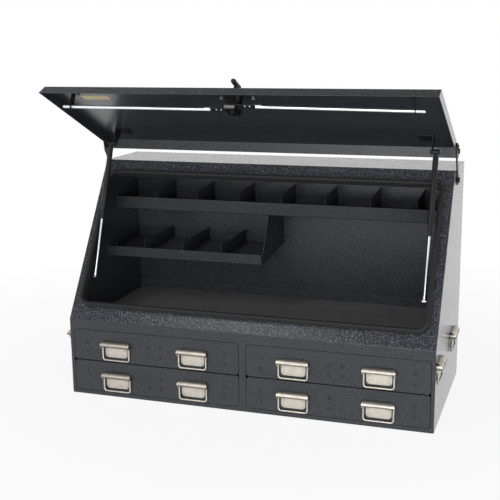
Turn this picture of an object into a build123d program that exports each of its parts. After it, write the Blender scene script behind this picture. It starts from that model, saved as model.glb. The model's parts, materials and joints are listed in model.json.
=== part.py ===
"""Upright steel tool chest: sloped flip-up lid on gas struts, divided shelves and four drawers.

Row frame: millimetres, +X along the width, +Y to the back, +Z up.  The origin is the centre of the
base.  The chest is drawn with its lid open; every moving piece is drawn at its rest position.
"""
from build123d import *
from math import atan2, cos, degrees, hypot, radians, sin, tan
import os

# ---------------------------------------------------------------- driving dimensions: carcass
body_width = 1220.0
body_depth = 570.0
body_height = 757.0
front_height = 261.0          # top of the upright front face
top_depth = 247.0             # front to back of the flat top
sheet = 1.5                   # carcass and lid sheet
bend = 2.0                    # inside radius of a fold
body_corner = 5.0             # rounded bottom corners of the side panels
side_flange = 18.0            # flange of a side panel that the back is riveted to

# ---------------------------------------------------------------- driving dimensions: drawers
stile_width = 13.0            # frame strip beside a drawer front
mullion_width = 26.0          # strip between the two drawer columns
drawer_front_height = 104.0
drawer_gap = 4.0              # between the fronts of one column
drawer_foot = 14.5            # bottom of the lower front
drawer_reveal = 1.5           # gap between a front and its opening
drawer_corner = 9.5
drawer_front_depth = 16.0     # depth of the folded edge of a front
drawer_box_length = 500.0
drawer_box_height = 80.0
drawer_box_lift = 10.0        # bottom of the box above the bottom of its front
drawer_sheet = 1.2
drawer_travel = 400.0
slide_height = 46.0
slide_sheet = 1.2
slide_play = 0.3
rail_depth = 5.0              # drawer half of a slide, beside the box
rail_play = 0.5               # between that rail and the frame's opening

# ---------------------------------------------------------------- driving dimensions: drop handle
hood_width = 104.0
hood_rise = 17.5
hood_reach = 20.0
hood_low = 2.5                # lower edge of the hood above the handle's centre
hood_corner = 12.0
hood_wall = 1.5
plate_width = 80.0
plate_drop = 36.0             # plate below the handle's centre
plate_corner = 12.0
plate_sheet = 1.5
bail_radius = 3.0
bail_drop = 45.0              # centre line of the grip below the handle's centre
bail_corner = 9.0
bail_play = 0.5               # between a bail leg and the end of its hood
pivot_drop = 2.0              # bail pivot below the handle's centre
pivot_reach = 6.0             # bail pivot in front of the plate
pivot_play = 0.1
ear_radius = 5.6
handle_spacing = 272.0        # between the two handles of a drawer
side_handle_front = 62.0      # front handle of a side behind the front
side_handle_back = 185.0      # rear handle of a side in front of the back
side_handle_z = 197.0

# ---------------------------------------------------------------- driving dimensions: slope opening
opening_side = 36.0           # from the outside of the chest to the opening
opening_low = 54.0            # from the front fold up the slope
opening_high = 534.0
opening_corner = 28.0
lip_height = 18.0
lip_play = 0.3
seal_width = 14.0
seal_inset = 5.0              # seal reaches this far inside the lip
seal_squeeze_gap = 3.0        # between the seal and the closed lid

# ---------------------------------------------------------------- driving dimensions: lid
lid_overhang = 1.0            # lid past the side panels, each side
lid_panel_length = 491.5
lid_depth = 32.0
lid_front_flare = 29.0        # how far the front flange leans out
lid_rear_flare = 14.0
lid_front_edge = 20.5         # closed front edge, up the slope from the front fold
lid_rim_gap = 1.5             # closed rim above the slope
hinge_back = 198.0            # hinge centre in front of the back
hinge_drop = 35.7             # hinge centre below the top
lid_open_angle = 81.7
arm_sheet = 4.0
arm_pad_radius = 17.0
arm_neck_radius = 9.0
arm_head_radius = 14.0
arm_bolt_start = 8.0          # first lid bolt, along the lid from its rear fold
arm_bolt_pitch = 38.0
hinge_bolt_radius = 5.0
hinge_head_radius = 8.5
hinge_head = 4.4
hinge_nut = 6.0
hinge_washer_radius = 9.0
arm_nut = 5.0
arm_bolt_head = 3.5
arm_bolt_head_radius = 8.0
hinge_play = 0.1

# ---------------------------------------------------------------- driving dimensions: gas struts
strut_inset = 17.0            # centre line inside the side of the slope opening
strut_foot_s = 155.0          # up the slope from the front fold
strut_foot_depth = 8.0        # below the slope
strut_head_u = 102.5          # along the lid from its rear fold
strut_head_depth = 51.5       # below the outside of the lid
strut_tube_radius = 9.0
strut_tube_wall = 2.0
strut_tube_length = 217.0
strut_cap = 8.0               # solid end of the tube
strut_seal_pack = 10.0        # rod seal inside the open end of the tube
strut_gland_radius = 6.0
strut_gland_length = 32.0
strut_rod_radius = 4.0
strut_rod_length = 248.0
strut_eye_width = 12.0
strut_eye_radius = 6.5
strut_collar_radius = 5.5
strut_collar_length = 8.0
strut_neck_radius = 5.6
strut_socket_radius = 8.0
strut_eye_hole = 4.0          # depth of the blind hole that faces the foot stud
strut_head_offset = 16.0      # from the head pivot to the end of the tube
strut_play = 0.3
stud_radius = 4.0
stud_play = 0.05
stud_head_radius = 5.4
stud_head = 2.0
stud_boss = 2.5
stud_nut_radius = 6.4
stud_nut = 5.0
bracket_sheet = 2.5
foot_bracket_reach = 14.0
foot_bracket_drop = 14.0      # below the slope
head_bracket_length = 46.0    # along the lid
head_bracket_reach = 48.0     # across the lid
head_bracket_lead = 12.0      # bracket ahead of the stud

# ---------------------------------------------------------------- driving dimensions: lid lock
lock_u = 445.0                # handle spindle along the lid from its rear fold
lock_rod_depth = 45.0         # centre of the lock rods below the outside of the lid
lock_rod_radius = 5.0
lock_rod_inset = 8.5          # end of a lock rod, drawn back, inside the slope opening
lock_rod_tip_u = 440.0
lock_pin_circle = 18.0
lock_pin_radius = 3.0
lock_pin_play = 0.65
lock_strap_width = 19.2
lock_strap_sheet = 3.0
lock_strap_rise = 0.3         # top of a rod's flat end past the rod's centre
lock_strap_end = 95.0
lock_rod_start = 75.0
lock_cam_sheet = 3.0
lock_cam_width = 15.6
lock_cam_hub_radius = 9.0
lock_cam_hub = 9.0
lock_cam_play = 0.3           # between the cam and the rods' flat ends
lock_pin_length = 4.5
lock_base_half_length = 58.0
lock_base_half_height = 32.0
lock_bridge_half_width = 16.0
lock_bridge_depth = 11.0      # inside of the bridge below the rods' centre
lock_gauge = 2.5
guide_inset = 35.0            # outer face of a rod guide inside the slope opening
guide_sheet = 3.0
guide_half_width = 11.0
guide_foot_length = 18.0
guide_play = 0.4
spindle_radius = 5.0
spindle_end = 4.5             # spindle past the bridge
spindle_nut = 4.0
spindle_nut_radius = 7.5
stem_radius = 6.0
stem_play = 1.0
handle_bar_length = 66.0
handle_bar_width = 15.0
handle_bar_thickness = 11.0
handle_bar_round = 3.3
handle_stand = 24.0           # underside of the bar above the lid
rose_radius = 22.0
rose_thickness = 4.0

# ---------------------------------------------------------------- driving dimensions: inside
floor_height = 230.0          # top of the compartment floor
floor_front_flange = 22.0
floor_back_flange = 32.0
shelf_sheet = 1.5
shelf_tilt = 4.5              # both shelves rise towards the back
upper_shelf_y = 93.0
upper_shelf_z = 573.5
upper_lip = 45.0
upper_bin_first = 158.5       # left-hand bin of the upper shelf
upper_bin_last = 126.1        # right-hand bin
upper_divider_count = 7
upper_divider_height = 70.0
lower_shelf_y = 5.0
lower_shelf_z = 415.5
lower_lip = 36.5
lower_shelf_end = -29.0       # right-hand end of the lower shelf
lower_divider_count = 3
lower_divider_front = 63.0
lower_divider_back = 45.0
shelf_back_flange = 28.0
end_panel_flange = 15.0       # flange of the end panel on the back
divider_foot = 12.0
foot_cutback = 24.0           # foot stops short of both ends of a divider
shelf_screw_radius = 4.0
shelf_screw_crown = 2.8
shelf_screw_head = 2.4
shelf_screw_front = 70.0      # front screw behind the front of its shelf
shelf_screw_back = 28.0
shelf_screw_height = 22.0

# ---------------------------------------------------------------- derived sizes
half_width = body_width / 2
inner_x = half_width - sheet
front_y = -body_depth / 2
back_y = body_depth / 2
inner_front_y = front_y + sheet
inner_back_y = back_y - sheet
slope_run = body_depth - top_depth
slope_rise = body_height - front_height
slope_angle = degrees(atan2(slope_rise, slope_run))
opening_half = half_width - opening_side
strut_x = opening_half - strut_inset
lock_rod_tip = opening_half - lock_rod_inset
guide_x = opening_half - guide_inset
hinge_y = back_y - hinge_back
hinge_z = body_height - hinge_drop
side_handle_y = (front_y + side_handle_front, back_y - side_handle_back)
lid_half = half_width + lid_overhang
lid_closed_height = lid_rim_gap + lid_depth
lid_rear_fold_s = lid_front_edge + lid_front_flare + lid_panel_length
seal_height = lid_closed_height - sheet - seal_squeeze_gap
drawer_front_width = half_width - stile_width - mullion_width / 2
column_centre = (mullion_width / 2 + half_width - stile_width) / 2
box_inner_x = mullion_width / 2 - drawer_reveal + rail_play + rail_depth
box_outer_x = half_width - stile_width + drawer_reveal - rail_play - rail_depth
box_front_y = front_y + drawer_front_depth
column_top = drawer_foot + 2 * drawer_front_height + drawer_gap
upper_shelf_back = inner_back_y - sheet
hood_half = hood_width / 2
bail_half = hood_half - hood_wall - bail_play - bail_radius
lock_swing = radians(90)      # turn of the handle from drawn back to shot
pin_offset = lock_pin_circle * cos(lock_swing / 2)
lock_stroke = 2 * lock_pin_circle * sin(lock_swing / 2)
strap_offset = (lock_pin_circle + pin_offset) / 2

# ---------------------------------------------------------------- frames
# Every frame has the row's +X as its x direction.
upright = Plane(origin=(0, 0, 0), x_dir=(1, 0, 0), z_dir=(0, 0, 1))
slope = Plane(
    origin=(0, front_y, front_height),
    x_dir=(1, 0, 0),
    z_dir=(0, -sin(radians(slope_angle)), cos(radians(slope_angle))),
)
hinge_axis = Axis((0, hinge_y, hinge_z), (1, 0, 0))
lid_closed = Plane(
    origin=slope.from_local_coords((0, lid_rear_fold_s, lid_closed_height)),
    x_dir=(1, 0, 0),
    z_dir=-slope.z_dir,
)


def turned(frame, axis, angle):
    """The frame turned about an axis."""
    mark = Pos(frame.origin) * Vertex(0, 0, 0)
    origin = Vector(*mark.rotate(axis, angle).center())
    turn = Axis((0, 0, 0), tuple(axis.direction))
    return Plane(
        origin=origin,
        x_dir=frame.x_dir.rotate(turn, angle),
        z_dir=frame.z_dir.rotate(turn, angle),
    )


lid = turned(lid_closed, hinge_axis, -lid_open_angle)
strut_foot = slope.from_local_coords((strut_x, strut_foot_s, -strut_foot_depth))
strut_head = lid.from_local_coords((strut_x, strut_head_u, strut_head_depth))
strut_length = (strut_head - strut_foot).length


# ---------------------------------------------------------------- sheet-metal helpers
def outline(points):
    """Face in the XY plane inside a closed polyline."""
    return make_face(Polyline(*points, close=True))


def across(frame, face, x_low, x_high):
    """Section face, drawn in the frame's y and z, drawn out along +X between two places."""
    section = Plane(
        origin=frame.from_local_coords((x_low, 0, 0)),
        x_dir=frame.y_dir,
        z_dir=frame.x_dir,
    )
    return extrude(section * face, amount=x_high - x_low)


def block(frame, x_low, x_high, y_low, y_high, z_low, z_high):
    """Rectangular bar between two corners of a frame."""
    size = (x_high - x_low, y_high - y_low, z_high - z_low)
    middle = ((x_high + x_low) / 2, (y_high + y_low) / 2, (z_high + z_low) / 2)
    return frame * (Pos(*middle) * Box(*size))


def rod_x(frame, radius, x_low, x_high, y, z):
    """Round bar along the frame's x direction."""
    return across(frame, Pos(y, z) * Circle(radius), x_low, x_high)


def shifted_line(start, end, distance):
    """A segment moved to its left."""
    run = end[0] - start[0]
    rise = end[1] - start[1]
    scale = distance / hypot(run, rise)
    step = (-rise * scale, run * scale)
    return (
        (start[0] + step[0], start[1] + step[1]),
        (end[0] + step[0], end[1] + step[1]),
    )


def meeting_point(first, second):
    """Where two straight lines cross."""
    (x1, y1), (x2, y2) = first
    (x3, y3), (x4, y4) = second
    spread = (x1 - x2) * (y3 - y4) - (y1 - y2) * (x3 - x4)
    one = x1 * y2 - y1 * x2
    two = x3 * y4 - y3 * x4
    return (
        (one * (x3 - x4) - (x1 - x2) * two) / spread,
        (one * (y3 - y4) - (y1 - y2) * two) / spread,
    )


def left_skin(path, thickness):
    """The path moved to its left by the sheet's thickness, with sharp corners."""
    lines = [shifted_line(a, b, thickness) for a, b in zip(path, path[1:])]
    corners = [meeting_point(a, b) for a, b in zip(lines, lines[1:])]
    return [lines[0][0], *corners, lines[-1][1]]


def folded(path, thickness, inside_radius):
    """Section of a folded sheet: the path is one skin, the sheet lies to its left."""
    skin = left_skin(path, thickness)
    face = outline([*path, *reversed(skin)])
    tight = []
    wide = []
    for index in range(1, len(path) - 1):
        (x0, y0), (x1, y1), (x2, y2) = path[index - 1:index + 2]
        left_turn = (x1 - x0) * (y2 - y1) - (y1 - y0) * (x2 - x1) > 0
        tight.append(skin[index] if left_turn else path[index])
        wide.append(path[index] if left_turn else skin[index])
    face = rounded(face, wide, inside_radius + thickness)
    return rounded(face, tight, inside_radius)


def rounded(face, points, radius):
    """Face with the corners at the given points rounded."""
    corners = [face.vertices().sort_by_distance((x, y, 0))[0] for x, y in points]
    return fillet(corners, radius) if corners else face


def mirrored(shape):
    """The same piece on the other side of the chest."""
    return mirror(shape, about=Plane.YZ)


def pair(shape):
    """A piece and its mirror image, as separate solids."""
    return Compound(children=[*shape.solids(), *mirrored(shape).solids()])


def group(shapes):
    """Like pieces kept as separate solids of one node."""
    return Compound(children=[solid for shape in shapes for solid in shape.solids()])


# ---------------------------------------------------------------- carcass
def carcass_outline():
    """Outer corners of the cross-section: (y, z)."""
    return {
        "front_foot": (front_y, 0.0),
        "front_fold": (front_y, front_height),
        "slope_top": (back_y - top_depth, body_height),
        "back_top": (back_y, body_height),
        "back_foot": (back_y, 0.0),
    }


def carcass_skins():
    """Outer corners and the inner corners one sheet inside them, by name."""
    outer = carcass_outline()
    names = list(outer)
    ring = [outer[name] for name in names]
    lines = [
        shifted_line(ring[i], ring[(i + 1) % len(ring)], -sheet) for i in range(len(ring))
    ]
    inner = {
        name: meeting_point(lines[i - 1], lines[i]) for i, name in enumerate(names)
    }
    return outer, inner


def carcass_strip(names, bends=()):
    """Part of the carcass ring between mitred corners, from side panel to side panel."""
    outer, inner = carcass_skins()
    face = outline([outer[n] for n in names] + [inner[n] for n in reversed(names)])
    face = rounded(face, [outer[n] for n in bends], bend + sheet)
    face = rounded(face, [inner[n] for n in bends], bend)
    return across(upright, face, -inner_x, inner_x)


def side_panel():
    """Right side: the whole cross-section, with a flange for the back panel."""
    outer = carcass_outline()
    face = outline(outer.values())
    face = rounded(face, [outer["front_foot"], outer["back_foot"]], body_corner)
    panel = across(upright, face, inner_x, half_width)
    flange = block(
        upright,
        inner_x - side_flange, inner_x,
        inner_back_y - sheet, inner_back_y,
        floor_height + floor_back_flange, body_height - 2 * sheet,
    )
    bolt_hole = rod_x(
        upright, hinge_bolt_radius + hinge_play, inner_x - 1, half_width + 1, hinge_y, hinge_z
    )
    return panel + flange - bolt_hole


def front_frame():
    """Folded front: drawer openings below, the lipped opening of the top compartment above."""
    frame = carcass_strip(("front_foot", "front_fold", "slope_top"), bends=("front_fold",))
    opening_z = (drawer_foot + column_top) / 2
    face_frame = Plane(origin=(0, front_y, opening_z), x_dir=(1, 0, 0), z_dir=(0, -1, 0))
    hole = RectangleRounded(
        drawer_front_width + 2 * drawer_reveal,
        column_top - drawer_foot + 2 * drawer_reveal,
        drawer_corner + drawer_reveal,
    )
    for side in (-1, 1):
        cutter = face_frame * (Pos(side * column_centre, 0) * hole)
        frame -= extrude(cutter, amount=sheet * 2, both=True)
    window = opening_face(0.0)
    frame -= extrude(slope * window, amount=sheet * 4, both=True)
    lip = extrude(slope * (opening_face(sheet) - window), amount=lip_height)
    root = extrude(slope * (opening_face(sheet) - window), amount=-sheet)
    return frame + lip + root


def opening_face(margin):
    """Outline of the slope opening, grown by a margin, in the slope's x and y."""
    middle = (opening_low + opening_high) / 2
    return Pos(0, middle) * RectangleRounded(
        2 * (opening_half + margin),
        opening_high - opening_low + 2 * margin,
        opening_corner + margin,
    )


def lid_seal():
    """Rubber edge seal with a round crown, pushed over the lip all round the opening."""
    inside = seal_inset
    half = opening_half - inside + seal_width / 2
    low = opening_low + inside - seal_width / 2
    high = opening_high - inside + seal_width / 2
    corner = opening_corner - inside + seal_width / 2
    path = slope * FilletPolyline((0, low), (half, low), (half, high), (0, high), radius=corner)
    shoulder = seal_height - seal_width / 2
    crown = Pos(0, shoulder) * Circle(seal_width / 2)
    section = Pos(0, shoulder / 2) * Rectangle(seal_width, shoulder) + crown
    grip_middle = seal_width / 2 - inside - sheet / 2
    groove_height = lip_height + lip_play
    groove = Pos(grip_middle, groove_height / 2) * Rectangle(sheet + 2 * lip_play, groove_height)
    start = Plane(
        origin=slope.from_local_coords((0, low, 0)), x_dir=slope.y_dir, z_dir=(1, 0, 0)
    )
    half_seal = sweep(start * (section - groove), path=path)
    return half_seal + mirrored(half_seal)


def compartment_floor():
    """Floor of the top compartment, turned up at the front and back."""
    under = floor_height - sheet
    path = [
        (inner_front_y, under + floor_front_flange),
        (inner_front_y, under),
        (inner_back_y, under),
        (inner_back_y, under + floor_back_flange),
    ]
    return across(upright, folded(path, sheet, bend), -inner_x, inner_x)


def centre_partition():
    """Upright sheet between the drawer columns, flanged at the front, back, top and bottom."""
    top = floor_height - sheet
    web = block(upright, -sheet / 2, sheet / 2, inner_front_y, inner_back_y, sheet, top)
    reach = mullion_width / 2 - drawer_reveal
    front = block(upright, -sheet / 2, reach, inner_front_y, inner_front_y + sheet, sheet, top)
    back = block(upright, -sheet / 2, reach, inner_back_y - sheet, inner_back_y, sheet, top)
    foot = block(upright, -sheet / 2, reach, inner_front_y, inner_back_y, sheet, 2 * sheet)
    head = block(upright, -sheet / 2, reach, inner_front_y, inner_back_y, top - sheet, top)
    return web + front + back + foot + head


# ---------------------------------------------------------------- shelves
def shelf_line(front, height, y):
    """Height of a tilted shelf's top surface at a depth y."""
    return height + (y - front) * tan(radians(shelf_tilt))


def shelf(front, height, lip, x_low, x_high):
    """Tilted shelf with a front lip that hides its edge and an upturned back flange."""
    back = upper_shelf_back
    under = -shelf_sheet / cos(radians(shelf_tilt))
    path = [
        (front, height + lip + under),
        (front, height + under),
        (back, shelf_line(front, height, back) + under),
        (back, shelf_line(front, height, back) + shelf_back_flange),
    ]
    return across(upright, folded(path, shelf_sheet, bend), x_low, x_high)


def divider(front, height, front_height_above, back_height_above, x):
    """Upright divider standing on a tilted shelf, with a foot folded to its right."""
    near = front + shelf_sheet + bend
    far = upper_shelf_back - shelf_sheet - bend
    points = [
        (near, shelf_line(front, height, near)),
        (far, shelf_line(front, height, far)),
        (far, shelf_line(front, height, far) + back_height_above),
        (near, shelf_line(front, height, near) + front_height_above),
    ]
    panel = across(upright, outline(points), x, x + shelf_sheet)
    lift = shelf_sheet / cos(radians(shelf_tilt))
    foot_near = near + foot_cutback
    foot_far = far - foot_cutback
    foot = [
        (foot_near, shelf_line(front, height, foot_near)),
        (foot_far, shelf_line(front, height, foot_far)),
        (foot_far, shelf_line(front, height, foot_far) + lift),
        (foot_near, shelf_line(front, height, foot_near) + lift),
    ]
    return panel + across(upright, outline(foot), x, x + divider_foot)


def upper_divider_places():
    """Left faces of the upper shelf's dividers, end plates included."""
    first = upper_bin_first - inner_x
    pitch = (inner_x - upper_bin_last - first) / (upper_divider_count - 1)
    places = [first + i * pitch for i in range(upper_divider_count)]
    return [-inner_x, *places, inner_x - shelf_sheet]


def upper_dividers():
    """Seven dividers and the two end plates that are screwed to the side panels."""
    pieces = []
    for x in upper_divider_places():
        piece = divider(
            upper_shelf_y, upper_shelf_z, upper_divider_height, upper_divider_height, x
        )
        if x > inner_x - divider_foot:
            piece = mirrored(
                divider(
                    upper_shelf_y, upper_shelf_z, upper_divider_height, upper_divider_height,
                    -inner_x,
                )
            )
        pieces.append(piece)
    return group(pieces)


def lower_divider_places():
    """Left faces of the lower shelf's left-hand end plate and its dividers."""
    pitch = (lower_shelf_end + inner_x) / (lower_divider_count + 1)
    return [-inner_x + i * pitch for i in range(lower_divider_count + 1)]


def lower_dividers():
    """Dividers of the lower shelf and its left-hand end plate."""
    return group(
        divider(lower_shelf_y, lower_shelf_z, lower_divider_front, lower_divider_back, x)
        for x in lower_divider_places()
    )


def shelf_end_panel():
    """Panel that hangs the lower shelf's free end from the upper shelf."""
    under = -shelf_sheet / cos(radians(shelf_tilt))
    back = upper_shelf_back

    def below_upper(y, drop=0.0):
        return (y, shelf_line(upper_shelf_y, upper_shelf_z, y) + under - drop)

    points = [
        (lower_shelf_y, lower_shelf_z + under),
        (back, shelf_line(lower_shelf_y, lower_shelf_z, back) + under),
        below_upper(back),
        below_upper(upper_shelf_y),
    ]
    panel = across(upright, outline(points), lower_shelf_end, lower_shelf_end + shelf_sheet)
    near = upper_shelf_y + divider_foot
    far = back - foot_cutback
    tab = [
        below_upper(near),
        below_upper(far),
        below_upper(far, shelf_sheet),
        below_upper(near, shelf_sheet),
    ]
    panel += across(upright, outline(tab), lower_shelf_end, lower_shelf_end + divider_foot)
    low = shelf_line(lower_shelf_y, lower_shelf_z, back)
    high = shelf_line(upper_shelf_y, upper_shelf_z, back) - shelf_back_flange - shelf_sheet
    flange = block(
        upright,
        lower_shelf_end, lower_shelf_end + end_panel_flange,
        back - shelf_sheet, back, low, high,
    )
    return panel + flange


def shelf_screws():
    """Domed screws through the shelves' end plates into the side panels."""
    rows = [
        (upper_shelf_y, upper_shelf_z, (-1, 1)),
        (lower_shelf_y, lower_shelf_z, (-1,)),
    ]
    seat = -inner_x + shelf_sheet
    rim = seat + shelf_screw_head / 2
    screws = []
    for front, height, sides in rows:
        for y in (front + shelf_screw_front, upper_shelf_back - shelf_screw_back):
            z = shelf_line(front, height, y) + shelf_screw_height
            screw = stepped_bar(upright, y, z, [
                (seat, rim, shelf_screw_radius),
                (rim, seat + shelf_screw_head, shelf_screw_crown),
            ])
            for side in sides:
                screws.append(screw if side < 0 else mirrored(screw))
    return group(screws)


# ---------------------------------------------------------------- drawers
def drawer_bottom(level):
    """Bottom of a drawer front: level 0 is the lower drawer."""
    return drawer_foot + level * (drawer_front_height + drawer_gap)


def slide_centre(level):
    """Height of the drawer slides' centre line."""
    return drawer_bottom(level) + drawer_box_lift + drawer_box_height / 2


def drawer_box(level):
    """Right-hand drawer box: folded tray open at the top, behind its front."""
    low = drawer_bottom(level) + drawer_box_lift
    outer = block(
        upright, box_inner_x, box_outer_x,
        box_front_y, box_front_y + drawer_box_length, low, low + drawer_box_height,
    )
    inner = block(
        upright, box_inner_x + drawer_sheet, box_outer_x - drawer_sheet,
        box_front_y + drawer_sheet, box_front_y + drawer_box_length - drawer_sheet,
        low + drawer_sheet, low + drawer_box_height + 1,
    )
    return outer - inner


def drawer_front(level):
    """Right-hand drawer front: shallow pan with rounded corners, flush with the frame."""
    middle = drawer_bottom(level) + drawer_front_height / 2
    face = Plane(
        origin=(column_centre, front_y, middle), x_dir=(1, 0, 0), z_dir=(0, -1, 0)
    )
    skin = RectangleRounded(drawer_front_width, drawer_front_height, drawer_corner)
    inner = RectangleRounded(
        drawer_front_width - 2 * sheet, drawer_front_height - 2 * sheet, drawer_corner - sheet
    )
    pan = extrude(face * skin, amount=-drawer_front_depth)
    return pan - extrude(face.offset(-sheet) * inner, amount=-drawer_front_depth)


def outer_slide(level, wall_x, box_x):
    """Cabinet half of a ball slide: a channel fixed to a wall, open to the drawer box."""
    middle = slide_centre(level)
    half = slide_height / 2
    into = 1 if box_x > wall_x else -1
    tip = box_x - into * slide_play
    low, high = sorted((wall_x, tip))
    solid = block(
        upright, low, high, box_front_y, box_front_y + drawer_box_length,
        middle - half, middle + half,
    )
    low, high = sorted((wall_x + into * slide_sheet, tip + into))
    channel = block(
        upright, low, high, box_front_y - 1, box_front_y + drawer_box_length + 1,
        middle - half + slide_sheet, middle + half - slide_sheet,
    )
    return solid - channel


def inner_slide(level, box_x, away):
    """Drawer half of a ball slide: a rail fixed to the side of the drawer box."""
    middle = slide_centre(level)
    half = slide_height / 2 - slide_sheet - slide_play
    tip = box_x + away * rail_depth
    low, high = sorted((box_x, tip))
    solid = block(
        upright, low, high, box_front_y, box_front_y + drawer_box_length,
        middle - half, middle + half,
    )
    low, high = sorted((box_x + away * slide_sheet, tip + away))
    channel = block(
        upright, low, high, box_front_y - 1, box_front_y + drawer_box_length + 1,
        middle - half + slide_sheet, middle + half - slide_sheet,
    )
    return solid - channel


def outer_slides():
    """Eight cabinet slides: both sides of both columns, on two levels."""
    right = []
    for level in (0, 1):
        right.append(outer_slide(level, sheet / 2, box_inner_x))
        right.append(outer_slide(level, inner_x, box_outer_x))
    return group([*right, *(mirrored(piece) for piece in right)])


def inner_slides(level):
    """The two drawer slides of a right-hand drawer."""
    return group([inner_slide(level, box_inner_x, -1), inner_slide(level, box_outer_x, 1)])


# ---------------------------------------------------------------- drop handle
def ellipse_quarter(rise, reach):
    """Quarter of an ellipse above hood_low, in (up, out)."""
    arc = EllipticalCenterArc((hood_low, 0), rise, reach, 0, arc_size=90)
    return make_face([
        arc,
        Line(arc @ 1, (hood_low, 0)),
        Line((hood_low, 0), arc @ 0),
    ])


def hood_plan(width, top, corner):
    """Hood seen from the front, with rounded top corners."""
    face = outline([(-width / 2, hood_low - 1), (width / 2, hood_low - 1),
                    (width / 2, top), (-width / 2, top)])
    return rounded(face, [(-width / 2, top), (width / 2, top)], corner)


def handle_mount():
    """Pressed hood with ears and the plate below it, in a frame x right, y up, z out."""
    top = hood_low + hood_rise
    shell = across(upright, ellipse_quarter(hood_rise, hood_reach), -hood_half, hood_half)
    shell &= extrude(hood_plan(hood_width, top, hood_corner), amount=hood_reach)
    core = across(
        upright, ellipse_quarter(hood_rise - hood_wall, hood_reach - hood_wall),
        -hood_half + hood_wall, hood_half - hood_wall,
    )
    core &= extrude(
        hood_plan(hood_width - 2 * hood_wall, top - hood_wall, hood_corner - hood_wall),
        amount=hood_reach,
    )
    ear = Pos(-pivot_drop, pivot_reach) * Circle(ear_radius)
    ear += Pos((hood_low - pivot_drop) / 2 + 1, pivot_reach) * Rectangle(
        hood_low + pivot_drop + 2, 2 * ear_radius
    )
    ears = across(upright, ear, hood_half - hood_wall, hood_half)
    ears += across(upright, ear, -hood_half, -hood_half + hood_wall)
    plate = outline([(-plate_width / 2, -plate_drop), (plate_width / 2, -plate_drop),
                     (plate_width / 2, top - hood_wall), (-plate_width / 2, top - hood_wall)])
    plate = rounded(
        plate, [(-plate_width / 2, -plate_drop), (plate_width / 2, -plate_drop)], plate_corner
    )
    pins = rod_x(
        upright, bail_radius + pivot_play, -hood_half - 1, hood_half + 1,
        -pivot_drop, pivot_reach,
    )
    return (shell - core) + (ears - pins) + extrude(plate, amount=plate_sheet)


def bail():
    """U-shaped wire grip whose ends turn out into the hood's ears, hanging straight down."""
    path = FilletPolyline(
        (hood_half, -pivot_drop), (bail_half, -pivot_drop), (bail_half, -bail_drop),
        (-bail_half, -bail_drop), (-bail_half, -pivot_drop), (-hood_half, -pivot_drop),
        radius=(bail_radius + bail_play / 2, bail_corner, bail_corner,
                bail_radius + bail_play / 2),
    )
    start = Plane(origin=(hood_half, -pivot_drop, 0), x_dir=(0, 0, 1), z_dir=(-1, 0, 0))
    wire = sweep(start * Circle(bail_radius), path=path)
    return Pos(0, 0, pivot_reach) * wire


def drawer_handle_frame(column, level, place):
    """Frame of a drawer handle: column and place are -1 or 1."""
    x = column * column_centre + place * handle_spacing / 2
    z = drawer_bottom(level) + drawer_front_height / 2
    return Plane(origin=(x, front_y, z), x_dir=(1, 0, 0), z_dir=(0, -1, 0))


def side_handle_frame(side, y):
    """Frame of a carrying handle on a side panel."""
    return Plane(
        origin=(side * half_width, y, side_handle_z), x_dir=(0, side, 0), z_dir=(side, 0, 0)
    )


# ---------------------------------------------------------------- lid
def lid_panel():
    """Bevelled tray: panel, leaning front and rear flanges and upright side flanges."""
    path = [
        (-lid_rear_flare, lid_depth),
        (0, 0),
        (lid_panel_length, 0),
        (lid_panel_length + lid_front_flare, lid_depth),
    ]
    tray = across(lid, folded(path, sheet, bend), -lid_half + sheet, lid_half - sheet)
    end = rounded(outline(path), [(0, 0), (lid_panel_length, 0)], bend + sheet)
    flanges = across(lid, end, lid_half - sheet, lid_half)
    flanges += across(lid, end, -lid_half, -lid_half + sheet)
    spindle_hole = Pos(0, lock_u) * Circle(spindle_radius + stem_play)
    holes = extrude(lid * spindle_hole, amount=2 * sheet, both=True)
    for u, depth in arm_bolt_places():
        holes += rod_x(
            lid, hinge_bolt_radius, -lid_half - 1, lid_half + 1, u, depth
        )
    return tray + flanges - holes


def hinge_point():
    """Hinge centre in the lid's own (y, z)."""
    local = lid.to_local_coords(Vector(0, hinge_y, hinge_z))
    return (local.Y, local.Z)


def arm_bolt_places():
    """Bolts that hold an arm to the lid's side flange, in the lid's (y, z)."""
    middle = lid_depth / 2
    return [(arm_bolt_start, middle), (arm_bolt_start + arm_bolt_pitch, middle)]


def joined_circles(places):
    """Face round circles given as (x, y, radius)."""
    circles = Sketch() + [Pos(x, y) * Circle(radius) for x, y, radius in places]
    return make_hull(circles.edges())


def hinge_arm():
    """Right-hand hinge arm: cranked plate from the hinge bolt to the lid's side flange."""
    pivot_u, pivot_depth = hinge_point()
    (near_u, near_depth), (far_u, far_depth) = arm_bolt_places()
    near = (near_u, near_depth, arm_head_radius)
    far = (far_u, far_depth, arm_head_radius)
    waist = (near_u + arm_bolt_pitch / 2, lid_depth + 2 * arm_neck_radius, arm_neck_radius)
    ankle = (
        (waist[0] + pivot_u) / 2,
        (waist[1] + pivot_depth) / 2,
        arm_neck_radius,
    )
    pad = (pivot_u, pivot_depth, arm_pad_radius)
    shape = joined_circles([near, far, waist])
    shape += joined_circles([waist, ankle])
    shape += joined_circles([ankle, pad])
    arm = across(lid, shape, lid_half, lid_half + arm_sheet)
    arm -= rod_x(
        lid, hinge_bolt_radius + hinge_play, lid_half - 1, lid_half + arm_sheet + 1,
        pivot_u, pivot_depth,
    )
    for u, depth in arm_bolt_places():
        arm -= rod_x(lid, hinge_bolt_radius, lid_half - 1, lid_half + arm_sheet + 1, u, depth)
    return arm


def stepped_bar(frame, y, z, steps):
    """Turned bar along +X: steps are (x low, x high, radius)."""
    bar = rod_x(frame, steps[0][2], steps[0][0], steps[0][1], y, z)
    for low, high, radius in steps[1:]:
        bar += rod_x(frame, radius, low, high, y, z)
    return bar


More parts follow.
